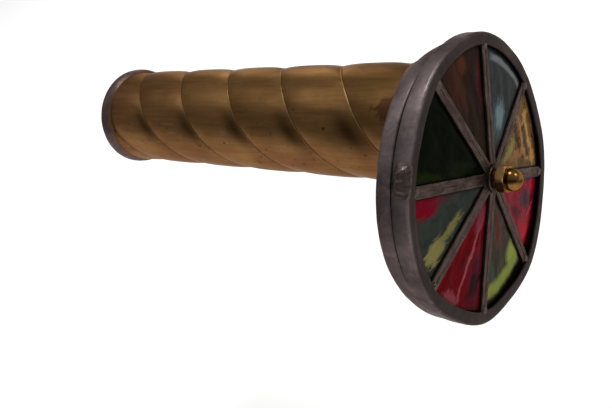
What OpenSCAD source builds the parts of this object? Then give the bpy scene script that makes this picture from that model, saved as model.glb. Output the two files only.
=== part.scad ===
// Wheel kaleidoscope: a creased brass tube with two stained-glass wheels that turn on one bolt.
// X runs along the tube from the eyepiece to the wheels, Z is up, and the origin is the
// centre of the eyepiece face. The bolt lies straight below the tube.

/* [Tube] */
// Length of the brass tube
tube_len = 149.4; // [135:0.1:165]
// Radius over the crests of the spiral lobes, half of a 1.5 inch tube
tube_r = 19.05; // [18.8:0.05:20]
// Number of spiral creases side by side
crease_starts = 3; // [2:1:4]
// Distance along the tube in which one crease makes a full turn
crease_lead = 79.7; // [60:0.1:110]
// Depth of a crease below the crests
crease_depth = 0.75; // [0.3:0.05:0.8]
// Clock angle of a crease at the eyepiece end
crease_angle = 10; // [0:1:119]
// Thickness of the tube's wall under a crease
tube_wall = 0.75; // [0.6:0.05:0.9]

/* [Eyepiece] */
// Width of the lead band round the eyepiece end
band_w = 5.6; // [4:0.1:8]
// Radial thickness of the lead band
band_t = 1.25; // [0.7:0.05:1.5]
// Radius of the eye hole
eye_r = 6.5; // [5:0.1:8]

/* [Wheels] */
// Mean outer radius of a wheel
wheel_r = 45.9; // [45:0.1:47.5]
// Thickness of a wheel's rim
rim_t = 4.7; // [4.6:0.1:5.2]
// Width of the rim's face
rim_face = 4.1; // [4:0.1:4.6]
// Gap between the two rims
wheel_gap = 0.55; // [0.5:0.05:1.2]
// Thickness of the glass
glass_t = 1.8; // [1.6:0.1:1.9]
// Width of a spoke's came
spoke_w = 3.7; // [3.2:0.1:3.7]
// How far the glass rises from the rim to the hub
dish = 3.15; // [2.9:0.05:3.3]

/* [Axle] */
// Radius of the bolt's shank, a number 8 screw
bolt_r = 2.05; // [1.9:0.05:2.1]
// Width of the acorn nut across its flats
nut_flats = 7.94; // [7.5:0.02:8.2]
// Outer radius of the sleeve that carries the bolt
sleeve_r = 3; // [2.9:0.1:3.4]

/* [Mirrors] */
// Distance from the tube's axis to each mirror
mirror_reach = 7.8; // [6.5:0.1:7.9]
// Thickness of the mirror glass
mirror_t = 2; // [1.5:0.1:2]

/* [Hidden] */
SECTOR_NAMES = ["1", "2", "3", "4", "5", "6", "7", "8"];
WHEELS = ["rear_wheel", "front_wheel"];
TUBE_NODES = [
    "tube", "eyepiece_band", "eyepiece_disc", "eye_lens", "mirror_base", "mirror_left", "mirror_right",
    "mirror_spacer_rear", "mirror_spacer_front", "object_window", "front_band"
];
AXLE_NODES = [
    "axle_sleeve", "sleeve_solder", "axle_bolt", "rear_washer", "middle_washer", "front_spacer", "acorn_nut"
];
WHEEL_NODES = [for (w = WHEELS, part = ["rim", "hub", "bush", "solder"]) str(w, "_", part)];
SPOKE_NODES = [for (w = WHEELS, n = SECTOR_NAMES) str(w, "_spoke_", n)];
GLASS_NODES = [for (w = WHEELS, n = SECTOR_NAMES) str(w, "_glass_", n)];

// Gap round the bolt and beside the washers, round the glass, and where one piece is seated in another
run_gap = 0.05;
glass_gap = 0.1;
seat_gap = 0.02;

bore_r = tube_r - crease_depth - tube_wall;
round_steps = 96;

// Axle and wheel places
front_lip_t = 0.5;
lip_to_rim = 0.5;
sleeve_gap = 0.75;
axle_drop = tube_r + sleeve_gap + sleeve_r;
wheel_pitch = rim_t + wheel_gap;
rear_face_x = tube_len + front_lip_t + lip_to_rim + rim_t;
front_face_x = rear_face_x + wheel_pitch;

// Section of a wheel, measured from its rim face towards the front
sectors = len(SECTOR_NAMES);
leaf_t = 0.7;
web_t = 0.8;
channel_depth = 2.4;
channel_w = rim_t - 1.8;
glass_edge_z = -rim_t / 2;
glass_hub_z = glass_edge_z + dish;
spoke_slope = atan(dish / (wheel_r - rim_face / 2));
half_spoke_t = glass_t / 2 + glass_gap + leaf_t;
hub_r = 4.4;
hub_front_z = glass_hub_z + half_spoke_t + 0.6;
hub_back_z = glass_hub_z - half_spoke_t - 0.45;
hub_t = hub_front_z - hub_back_z;
bush_proud = 0.08;
bush_wall = 0.85;
bush_r = bolt_r + run_gap;
washer_t = wheel_pitch - hub_t - 2 * bush_proud - 2 * run_gap;
washer_r = 4.4;
spacer_r = 3.1;

// Stations along the bolt
rear_washer_x = rear_face_x + hub_back_z - bush_proud - run_gap - washer_t;
middle_washer_x = rear_face_x + hub_front_z + bush_proud + run_gap;
spacer_x = front_face_x + hub_front_z + bush_proud + run_gap;
nut_x = front_face_x + 4.4;
sleeve_start_x = tube_len - 24;
bolt_end_x = nut_x + 4.6;

// The hand-bent outlines are the wheel's radius plus waves round it: [waves, height, angle of a crest]
front_waves = [
    [1, 0.94, -81.2], [2, 0.59, -70.7], [3, 0.61, 46], [4, 0.2, -6.2], [6, 0.22, -20.4], [7, 0.19, 21.9], [8, 0.25, 6.9]
];
rear_waves = [[0, -0.9, 0], [1, 0.76, -169.9], [2, 0.83, -38.4], [3, 0.52, 15], [5, 0.19, 22.4], [6, 0.2, -17.6]];

// Angles of the hand-set spokes, and of the joint in each rim
front_spokes = [95.3, 50.8, 4.8, -42.4, -85.3, -131.1, -178.5, -219.4];
rear_spokes = [77.5, 31.8, -13, -58.6, -102.1, -147.9, -192.4, -237.8];
front_joint = 141;
rear_joint = -30;

lead_grey = [0.31, 0.28, 0.29];
solder_grey = [0.42, 0.39, 0.38];
brass = [0.55, 0.42, 0.2];
bright_brass = [0.78, 0.6, 0.28];
clear_glass = [0.82, 0.88, 0.88, 0.4];
mirror_silver = [0.75, 0.77, 0.8];
foam_black = [0.08, 0.08, 0.08];
front_glass_colours = [
    [0.25, 0.13, 0.07], [0.32, 0.4, 0.42], [0.62, 0.46, 0.14], [0.6, 0.05, 0.12],
    [0.4, 0.45, 0.14], [0.5, 0.02, 0.08], [0.3, 0.3, 0.12], [0.08, 0.13, 0.05]
];
rear_glass_colours = [
    [0.1, 0.25, 0.45], [0.7, 0.5, 0.15], [0.15, 0.4, 0.2], [0.55, 0.1, 0.15],
    [0.75, 0.7, 0.55], [0.3, 0.12, 0.4], [0.1, 0.4, 0.45], [0.65, 0.25, 0.08]
];

function wave_radius(waves, a) =
    wheel_r + [for (w = waves) w[1] * cos(w[0] * (a - w[2]))] * [for (w = waves) 1];

function arc_points(centre, r, from, to, steps) =
    [for (i = [0:steps]) centre + r * [cos(from + (to - from) * i / steps), sin(from + (to - from) * i / steps)]];

// Pane n lies between spoke n and the next one, clockwise as the wheel's front shows them
function next_spoke(spokes, n) = n < sectors ? spokes[n] : spokes[0] - 360;
function pane_centre(spokes, n) = (spokes[n - 1] + next_spoke(spokes, n)) / 2;
function pane_half(spokes, n) = (spokes[n - 1] - next_spoke(spokes, n)) / 2;

// Local X, Y and Z become the row's Y, Z and X
module along_x(x = 0) translate([x, 0, 0]) rotate([90, 0, 90]) children();

module on_axle(x) translate([0, 0, -axle_drop]) along_x(x) children();

module ring(r_in, r_out, h) difference() {
    cylinder(r = r_out, h = h, $fn = round_steps);
    translate([0, 0, -1]) cylinder(r = r_in, h = h + 2, $fn = round_steps);
}

// Lobes bulge between sharp creases, and the outline twists one turn in each lead
lobe_points = 9;
lobe_flatness = 3;
turns = tube_len / crease_lead;
tube_slices = ceil(turns * 36);

function lobe_radius(a) =
    let (u = (a * crease_starts / 360) % 1) tube_r - crease_depth * pow(abs(2 * u - 1), lobe_flatness);

module lobed_outline() {
    steps = crease_starts * lobe_points;
    polygon([for (i = [0:steps - 1]) let (a = 360 * i / steps) lobe_radius(a) * [cos(a), sin(a)]]);
}

module tube() color(brass) difference() {
    along_x() rotate([0, 0, crease_angle])
        linear_extrude(height = tube_len, twist = -360 * turns, slices = tube_slices) lobed_outline();
    along_x(-1) cylinder(r = bore_r, h = tube_len + 2, $fn = round_steps);
}

// Both bands are flat lead strip with softened outer edges
module soft_band(r_in, r_out, w, soft) rotate_extrude($fn = round_steps) polygon(concat(
    [[r_in, 0]],
    arc_points([r_out - soft, soft], soft, -90, 0, 4),
    arc_points([r_out - soft, w - soft], soft, 0, 90, 4),
    [[r_in, w]]
));

band_x = 0.6;

module eyepiece_band() color(lead_grey) along_x(band_x) soft_band(tube_r + seat_gap, tube_r + band_t, band_w, 0.4);

front_band_w = 2;
front_band_t = 0.6;
front_lip_in = 0.8;
front_lip_out = 0.3;

// A strip round the tube's end with a lip turned in over the window
module front_band() color(lead_grey) {
    along_x(tube_len - front_band_w)
        soft_band(tube_r + seat_gap, tube_r + front_band_t, front_band_w + front_lip_t, 0.3);
    along_x(tube_len) ring(bore_r - front_lip_in, tube_r + front_lip_out, front_lip_t);
}

disc_t = 1.6;

module eyepiece_disc() color(brass) along_x() ring(eye_r + seat_gap, bore_r - seat_gap, disc_t);

// Flat on the eye's side and domed inside
lens_dome_r = 18;
lens_t = 2.8;

module eye_lens() color(clear_glass) along_x() intersection() {
    cylinder(r = eye_r, h = 2 * lens_t, $fn = round_steps);
    translate([0, 0, lens_t - lens_dome_r]) sphere(r = lens_dome_r, $fn = round_steps);
}

mirror_turns = [-90, 30, 150];
mirror_start_x = disc_t + 2;
window_t = 2;
window_x = tube_len - window_t;
window_gap = 0.4;
mirror_len = window_x - window_gap - mirror_start_x;
mirror_w = 2 * (mirror_reach * tan(60) - run_gap);

// Three long strips face each other in a triangle round the tube's axis
module mirror_strip(turn) color(mirror_silver) along_x(mirror_start_x) rotate([0, 0, turn])
    translate([mirror_reach, -mirror_w / 2, 0]) cube([mirror_t, mirror_w, mirror_len]);

module mirror_base() mirror_strip(mirror_turns[0]);
module mirror_left() mirror_strip(mirror_turns[1]);
module mirror_right() mirror_strip(mirror_turns[2]);

spacer_t = 4;

// A foam ring keeps the strips from rattling in the tube
module mirror_spacer(x) color(foam_black) along_x(x) difference() {
    cylinder(r = bore_r - run_gap, h = spacer_t, $fn = round_steps);
    for (turn = mirror_turns) rotate([0, 0, turn])
        translate([0, -mirror_w / 2 - run_gap, -1])
            cube([mirror_reach + mirror_t + run_gap, mirror_w + 2 * run_gap, spacer_t + 2]);
}

module mirror_spacer_rear() mirror_spacer(mirror_start_x + 2);
module mirror_spacer_front() mirror_spacer(window_x - spacer_t - 3);

module object_window() color(clear_glass) along_x(window_x)
    cylinder(r = bore_r - run_gap, h = window_t, $fn = round_steps);

module axle_sleeve() color(brass) on_axle(sleeve_start_x) ring(bush_r, sleeve_r, rear_washer_x - sleeve_start_x);

fillet_len = 16.5;
fillet_inset = 0.8;
fillet_top = [5.2, -18.4];
fillet_foot = [2.7, 0.9 - axle_drop];

// Solder fills the corners between the sleeve and the tube
module sleeve_solder() color(solder_grey) along_x(sleeve_start_x + fillet_inset) linear_extrude(height = fillet_len)
    difference() {
        polygon([[-fillet_top[0], fillet_top[1]], fillet_top, fillet_foot, [-fillet_foot[0], fillet_foot[1]]]);
        circle(r = tube_r + seat_gap, $fn = round_steps);
        translate([0, -axle_drop]) circle(r = sleeve_r + seat_gap, $fn = round_steps);
    }

head_t = 2.3;
head_r = 3.9;
head_soft = 1.3;

// Pan head behind the sleeve, plain shank to the nut
module axle_bolt() color(bright_brass) on_axle(sleeve_start_x) {
    cylinder(r = bolt_r, h = bolt_end_x - sleeve_start_x, $fn = round_steps);
    rotate_extrude($fn = round_steps) polygon(concat(
        [[0, 0], [0, -head_t]],
        arc_points([head_r - head_soft, head_soft - head_t], head_soft, -90, 0, 5),
        [[head_r, 0]]
    ));
}

module washer(x) color(brass) on_axle(x) ring(bush_r, washer_r, washer_t);
module rear_washer() washer(rear_washer_x);
module middle_washer() washer(middle_washer_x);

module front_spacer() color(brass) on_axle(spacer_x) ring(bush_r, spacer_r, nut_x - spacer_x);

hex_h = 2.8;
hex_chamfer = 0.4;
dome_r = 3.5;
dome_z = 3.65;
nut_turn = 17;

// Chamfered hexagon below a ball-shaped cap, with a blind hole for the bolt
module acorn_nut() color(bright_brass) on_axle(nut_x) rotate([0, 0, nut_turn]) difference() {
    union() {
        intersection() {
            cylinder(d = nut_flats / cos(30), h = hex_h, $fn = 6);
            rotate_extrude($fn = round_steps) polygon([
                [0, 0], [nut_flats / 2, 0], [nut_flats / 2 + 2 * hex_chamfer, hex_chamfer],
                [nut_flats / 2 + 2 * hex_chamfer, hex_h - hex_chamfer], [nut_flats / 2, hex_h], [0, hex_h]
            ]);
        }
        translate([0, 0, dome_z]) sphere(r = dome_r, $fn = round_steps);
    }
    translate([0, 0, -1]) cylinder(r = bolt_r + seat_gap, h = bolt_end_x - nut_x + 1.4, $fn = round_steps);
}

// Rim section from the outer radius inwards: rounded shoulders outside, glass channel inside
shoulder = 0.7;
lip = 0.4;
rim_wall_u = channel_depth - rim_face;

function rim_half(side) = let (z = side * rim_t / 2) concat(
    arc_points([-shoulder, z - side * shoulder], shoulder, 0, side * 90, 4),
    [
        [lip - rim_face, z], [-rim_face, z - side * lip],
        [-rim_face, side * channel_w / 2], [rim_wall_u, side * channel_w / 2]
    ]
);

function rim_section() = let (back = rim_half(-1)) concat(rim_half(1), [for (i = [len(back) - 1:-1:0]) back[i]]);

rim_steps = 64;

// The section follows the wheel's hand-bent outline, one ring of points at each step round it
module rim(waves) {
    section = rim_section();
    n = len(section);
    points = [
        for (i = [0:rim_steps - 1], p = section)
            let (a = 360 * i / rim_steps, r = wave_radius(waves, a) + p[0])
            [r * cos(a), r * sin(a), p[1] - rim_t / 2]
    ];
    faces = [
        for (i = [0:rim_steps - 1], j = [0:n - 1])
            let (a = i * n + j, b = i * n + (j + 1) % n, c = ((i + 1) % rim_steps) * n)
            each [[a, b, c + (j + 1) % n], [a, c + (j + 1) % n, c + j]]
    ];
    polyhedron(points, faces, convexity = 4);
}

// Two beads with a fine groove between them, above and below a web that parts the glass
bead_soft = 0.35;
groove = 0.22;

function spoke_bead(side) = let (
    top = side * half_spoke_t,
    bottom = side * (half_spoke_t - leaf_t),
    w = spoke_w / 2
) [
    [web_t / 2, bottom], [w, bottom], [w, top - side * bead_soft], [w - bead_soft, top],
    [groove, top], [0, top - side * groove], [-groove, top],
    [bead_soft - w, top], [-w, top - side * bead_soft], [-w, bottom], [-web_t / 2, bottom]
];

function spoke_section() = let (below = spoke_bead(-1)) concat(spoke_bead(1), [for (i = [len(below) - 1:-1:0]) below[i]]);

// Local X runs out along the spoke, and the spoke falls towards the rim
module spoke_line(angle) rotate([0, 0, angle]) translate([0, 0, glass_hub_z]) rotate([0, spoke_slope, 0]) children();

rim_end_gap = 0.25;
hub_end_gap = 0.1;

function spoke_end(waves, angle) = (wave_radius(waves, angle) - rim_face) / cos(spoke_slope) - rim_end_gap;

module spoke(waves, angle) {
    start = hub_r + hub_end_gap;
    spoke_line(angle) translate([start, 0, 0]) rotate([90, 0, 90])
        linear_extrude(height = spoke_end(waves, angle) - start) polygon(spoke_section());
}

// Each pane lies flat between two spokes, tucked into the rim's channel
pane_in_r = hub_r + 1.3;
pane_side = web_t / 2 + 0.15;
pane_tuck = 0.8 * channel_depth;
pane_arc_steps = 8;

module pane(waves, spokes, n) {
    centre = pane_centre(spokes, n);
    half = pane_half(spokes, n);
    slope = atan(tan(spoke_slope) / cos(half));
    out_half = half - asin(pane_side / wheel_r);
    in_half = half - asin(pane_side / pane_in_r);
    outer = [
        for (i = [0:pane_arc_steps])
            let (a = out_half * (2 * i / pane_arc_steps - 1), r = wave_radius(waves, centre + a) - rim_face + pane_tuck)
            [r * cos(a) / cos(slope), r * sin(a)]
    ];
    inner = [for (a = [in_half, -in_half]) pane_in_r * [cos(a) / cos(slope), sin(a)]];
    rotate([0, 0, centre]) translate([0, 0, glass_hub_z]) rotate([0, slope, 0])
        translate([0, 0, -glass_t / 2]) linear_extrude(height = glass_t) polygon(concat(outer, inner));
}

hub_soft = 0.3;

module hub() translate([0, 0, hub_back_z]) difference() {
    rotate_extrude($fn = round_steps) polygon([
        [0, 0], [hub_r - hub_soft, 0], [hub_r, hub_soft], [hub_r, hub_t - hub_soft], [hub_r - hub_soft, hub_t], [0, hub_t]
    ]);
    translate([0, 0, -1]) cylinder(r = bush_r + bush_wall, h = hub_t + 2, $fn = round_steps);
}

module bush() translate([0, 0, hub_back_z - bush_proud]) ring(bush_r, bush_r + bush_wall, hub_t + 2 * bush_proud);

drop_r = 1.6;
drop_h = 0.75;
drop_inset = 0.5;
drop_curve_r = (drop_r * drop_r + drop_h * drop_h) / (2 * drop_h);
patch_len = 8;
patch_t = 0.75;
patch_curve_r = 17;
patch_inset = 0.3;

// One drop of solder where each spoke meets the rim, and a patch over the rim's own joint
module solder(waves, spokes, joint) {
    for (angle = spokes) spoke_line(angle)
        translate([spoke_end(waves, angle) - drop_inset, 0, half_spoke_t + seat_gap / 2]) intersection() {
            translate([0, 0, drop_h - drop_curve_r]) sphere(r = drop_curve_r, $fn = round_steps);
            cylinder(r = 2 * drop_r, h = drop_h, $fn = round_steps);
        }
    rotate([0, 0, joint]) translate([wave_radius(waves, joint) - patch_t / 2, 0, -rim_t / 2]) rotate([0, 90, 0])
        intersection() {
            translate([0, 0, patch_t - patch_curve_r]) sphere(r = patch_curve_r, $fn = round_steps);
            translate([patch_inset - rim_t / 2, -patch_len / 2, 0]) cube([rim_t - 2 * patch_inset, patch_len, 2 * patch_t]);
        }
}

function is_front(w) = w == "front_wheel";
function waves_of(w) = is_front(w) ? front_waves : rear_waves;
function spokes_of(w) = is_front(w) ? front_spokes : rear_spokes;
function joint_of(w) = is_front(w) ? front_joint : rear_joint;
function glass_colour(w, n) = is_front(w) ? front_glass_colours[n - 1] : rear_glass_colours[n - 1];
module placed(w) on_axle(is_front(w) ? front_face_x : rear_face_x) children();

tube();
eyepiece_band();
eyepiece_disc();
eye_lens();
mirror_base();
mirror_left();
mirror_right();
mirror_spacer_rear();
mirror_spacer_front();
object_window();
front_band();
axle_sleeve();
sleeve_solder();
axle_bolt();
rear_washer();
middle_washer();
front_spacer();
acorn_nut();
for (w = WHEELS) {
    placed(w) color(lead_grey) rim(waves_of(w));
    placed(w) color(solder_grey) hub();
    placed(w) color(brass) bush();
    placed(w) color(solder_grey) solder(waves_of(w), spokes_of(w), joint_of(w));
    for (n = [1:sectors]) {
        placed(w) color(solder_grey) spoke(waves_of(w), spokes_of(w)[n - 1]);
        placed(w) color(glass_colour(w, n)) pane(waves_of(w), spokes_of(w), n);
    }
}
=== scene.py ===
import bpy, bmesh, math
import numpy as np
from mathutils import Matrix, Vector, noise


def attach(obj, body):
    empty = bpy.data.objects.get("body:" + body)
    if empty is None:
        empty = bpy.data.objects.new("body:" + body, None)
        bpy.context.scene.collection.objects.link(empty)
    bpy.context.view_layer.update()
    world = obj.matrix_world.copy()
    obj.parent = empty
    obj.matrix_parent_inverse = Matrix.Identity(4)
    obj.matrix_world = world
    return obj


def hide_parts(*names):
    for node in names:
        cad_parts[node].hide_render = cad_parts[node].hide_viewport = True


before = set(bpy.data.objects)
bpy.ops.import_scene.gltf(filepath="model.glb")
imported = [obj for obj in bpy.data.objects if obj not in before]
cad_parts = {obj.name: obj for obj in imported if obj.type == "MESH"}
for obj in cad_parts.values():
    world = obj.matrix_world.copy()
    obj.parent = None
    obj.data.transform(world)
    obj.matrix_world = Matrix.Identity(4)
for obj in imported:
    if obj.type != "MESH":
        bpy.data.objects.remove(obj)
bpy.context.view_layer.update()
mm = 0.001
axleDrop = 22.8 * mm  # how far the wheels' axle is below the tube's axis

# For each wheel: X of its front face, degrees of the rim's joint and of the spokes, the side that all but
# touches the other wheel (1 front, -1 back), and the rim's bends (times round, millimetres, crest in degrees)
front = {"faceX": 160.35 * mm, "body": "front_wheel", "seed": 3.0, "joint": 136, "tight": -1,
         "spokes": [95.3, 50.8, 4.8, -42.4, -85.3, -131.1, -178.5, -219.4],
         "waves": [(1, 0.94, -81.2), (2, 0.59, -70.7), (3, 0.61, 46), (4, 0.2, -6.2), (6, 0.22, -20.4),
                   (7, 0.19, 21.9), (8, 0.25, 6.9)]}
rear = {"faceX": 155.1 * mm, "body": "rear_wheel", "seed": 11.0, "joint": -30, "tight": 1,
        "spokes": [77.5, 31.8, -13, -58.6, -102.1, -147.9, -192.4, -237.8],
        "waves": [(0, -0.9, 0), (1, 0.76, -169.9), (2, 0.83, -38.4), (3, 0.52, 15), (5, 0.19, 22.4),
                  (6, 0.2, -17.6)]}
print("frame loaded")


# Small helpers

def tone(r, g, b):  # a colour as it looks on screen, 0 to 255
    linear = [(c / 255) / 12.92 if c <= 10 else ((c / 255 + 0.055) / 1.055) ** 2.4 for c in (r, g, b)]
    return (*linear, 1.0)


def link(obj):
    bpy.context.scene.collection.objects.link(obj)
    return obj


def plainMesh(name, verts, faces=()):
    mesh = bpy.data.meshes.new(name)
    mesh.from_pydata([tuple(v) for v in verts], [], faces)
    return mesh


def finishPiece(name, mesh, material, sharpAngle=None, smooth=True):
    bm = bmesh.new()
    bm.from_mesh(mesh)
    bmesh.ops.remove_doubles(bm, verts=bm.verts, dist=1e-6)
    bmesh.ops.recalc_face_normals(bm, faces=bm.faces)
    bm.to_mesh(mesh)
    bm.free()
    for poly in mesh.polygons:
        poly.use_smooth = smooth
    if sharpAngle:
        mesh.set_sharp_from_angle(angle=math.radians(sharpAngle))
    mesh.materials.clear()
    mesh.materials.append(material)
    return link(bpy.data.objects.new(name, mesh))


def settle(obj, body, slot, *nodes):  # rides on its body and stands for CAD nodes
    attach(obj, body)
    if nodes:
        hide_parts(*nodes)
    return obj


def paint(mesh, name, values):  # one value, or one vector, for each point of a mesh
    values = np.asarray(values, dtype=np.float32)
    kind, field = ("FLOAT", "value") if values.ndim == 1 else ("FLOAT_VECTOR", "vector")
    mesh.attributes.new(name, kind, "POINT").data.foreach_set(field, values.ravel())


def pointsOf(mesh):
    flat = np.empty(len(mesh.vertices) * 3, dtype=np.float32)
    mesh.vertices.foreach_get("co", flat)
    return flat.reshape(-1, 3).astype(float)


def movePoints(mesh, places):
    mesh.vertices.foreach_set("co", places.astype(np.float32).ravel())


def bell(values, middle, wide):  # 1 at the middle, falling away on both sides
    return np.exp(-((values - middle) / wide) ** 2)


def ramp(values, start, length):  # 0 up to the start, then rising to 1
    return np.clip((values - start) / length, 0, 1)


def arc(cx, cy, r, start, end, steps):
    turns = [math.radians(start + (end - start) * i / steps) for i in range(steps + 1)]
    return [(cx + r * math.cos(a), cy + r * math.sin(a)) for a in turns]


def onCircle(r, degrees, z=0.0):
    return r * math.cos(math.radians(degrees)), r * math.sin(math.radians(degrees)), z


def shellFaces(rows, columns):  # two like grids of points, the second behind the first, and walls between
    sheet, faces = rows * columns, []
    for i in range(rows - 1):
        for k in range(columns - 1):
            a = i * columns + k
            faces.append((a, a + 1, a + columns + 1, a + columns))
            faces.append((sheet + a, sheet + a + columns, sheet + a + columns + 1, sheet + a + 1))
    sides = [(i * columns + k, i * columns + k + columns) for i in range(rows - 1) for k in (0, columns - 1)]
    ends = [(i * columns + k, i * columns + k + 1) for i in (0, rows - 1) for k in range(columns - 1)]
    return faces + [(a, b, sheet + b, sheet + a) for a, b in sides + ends]


def toRow(x, drop=axleDrop):  # flat X, Y and front Z become the row's Y, Z and X
    return Matrix(((0, 0, 1, x), (1, 0, 0, 0), (0, 1, 0, -drop), (0, 0, 0, 1)))


# Shader helpers

def add(tree, kind, inputs=None, **settings):
    made = tree.nodes.new(kind)
    for key, value in settings.items():
        setattr(made, key, value)
    for key, value in (inputs or {}).items():
        if isinstance(value, bpy.types.NodeSocket):
            tree.links.new(value, made.inputs[key])
        else:
            made.inputs[key].default_value = value
    return made


def calc(tree, operation, a, b=0.0, clamp=False):
    return add(tree, "ShaderNodeMath", {0: a, 1: b}, operation=operation, use_clamp=clamp).outputs[0]


def times(tree, a, b):
    return calc(tree, "MULTIPLY", a, b)


def vectorCalc(tree, operation, a, b):
    return add(tree, "ShaderNodeVectorMath", {0: a, 1: b}, operation=operation).outputs[0]


def lengthOf(tree, vector):
    return add(tree, "ShaderNodeVectorMath", {0: vector}, operation="LENGTH").outputs[1]


def coated(tree, colour, *coats):  # tones laid over a colour one after another, each as far as its share
    for share, tint in coats:
        colour = add(tree, "ShaderNodeMix", {0: share, 6: colour, 7: tint}, data_type="RGBA").outputs[2]
    return colour


def dented(tree, height, *marks):  # finer marks added to a height, each with its share
    for mark, share in marks:
        height = calc(tree, "ADD", height, times(tree, mark, share))
    return height


def span(tree, value, low, high, toLow=0.0, toHigh=1.0):
    inputs = {0: value, 1: low, 2: high, 3: toLow, 4: toHigh}
    return add(tree, "ShaderNodeMapRange", inputs).outputs[0]


def noiseOf(tree, vector, scale, detail=3.0, rough=0.55, distort=0.0, w=0.0):
    inputs = {"Vector": vector, "W": w, "Scale": scale, "Detail": detail, "Roughness": rough,
              "Distortion": distort}
    return add(tree, "ShaderNodeTexNoise", inputs, noise_dimensions="4D").outputs[0]


def stretched(tree, vector, scale=(1, 1, 1), turn=(0, 0, 0), shift=(0, 0, 0)):
    inputs = {"Vector": vector, "Scale": scale, "Rotation": turn, "Location": shift}
    return add(tree, "ShaderNodeMapping", inputs).outputs[0]


def markOf(tree, name, output="Fac"):  # what was painted on the mesh's points
    return add(tree, "ShaderNodeAttribute", attribute_name=name).outputs[output]


def blankTree(holder):
    holder.use_nodes = True
    holder.node_tree.nodes.clear()
    return holder.node_tree


def newMaterial(name, **sockets):
    made = bpy.data.materials.new(name)
    tree = blankTree(made)
    shader = add(tree, "ShaderNodeBsdfPrincipled", sockets)
    tree.links.new(shader.outputs[0], add(tree, "ShaderNodeOutputMaterial").inputs[0])
    return made, tree, shader


def placeOf(tree):  # where a point of the object is, in metres
    return add(tree, "ShaderNodeTexCoord").outputs["Object"]


def feed(tree, shader, colour, rough, height, depth):
    bump = add(tree, "ShaderNodeBump", {"Strength": 1.0, "Distance": depth, "Height": height})
    for socket, value in (("Base Color", colour), ("Roughness", rough), ("Normal", bump.outputs[0])):
        tree.links.new(value, shader.inputs[socket])


# Finishes

# Besides the brass's own tones, some paint light: a dark one for a painted reflection beside the creases, a
# pale one for a painted highlight on the ridges and a light one for painted light at the eye end; the specks'
# tone also paints shade in the creases.
patina = {"gold": tone(144, 108, 66), "brown": tone(116, 84, 52), "dark": tone(70, 47, 26),
          "red": tone(114, 71, 50), "rust": tone(92, 42, 24), "speck": tone(38, 24, 12),
          "polishAndHighlight": tone(186, 150, 96), "stain": tone(62, 32, 22), "olive": tone(98, 78, 38),
          "darkReflection": tone(40, 30, 13), "eye": tone(152, 110, 74), "pale": tone(160, 126, 98),
          "edge": (0.72, 0.6, 0.52, 1.0), "eyeEnd": 0.0, "wheelEnd": 0.15, "dents": 0.0004}
tubeSpots = [  # place in metres, half length along the tube and half height, tone, strength
    ((0.1468, -0.0118, 0.0153), (0.0062, 0.0042), "stain", 0.65),
    ((0.1086, -0.0119, 0.0149), (0.0006, 0.0005), "speck", 0.7),
    ((0.1218, -0.0158, 0.0107), (0.0007, 0.0005), "speck", 0.7),
    ((0.0445, -0.0159, 0.0104), (0.004, 0.0004), "pale", 0.35),
    ((0.0459, -0.0176, 0.0073), (0.003, 0.0004), "pale", 0.3),
    ((0.0752, -0.0172, 0.0082), (0.002, 0.001), "pale", 0.25),
    ((0.0742, -0.0185, 0.0045), (0.0006, 0.0004), "speck", 0.6),
    ((0.136, -0.0187, 0.003), (0.0006, 0.0004), "rust", 0.8),
]


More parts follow.
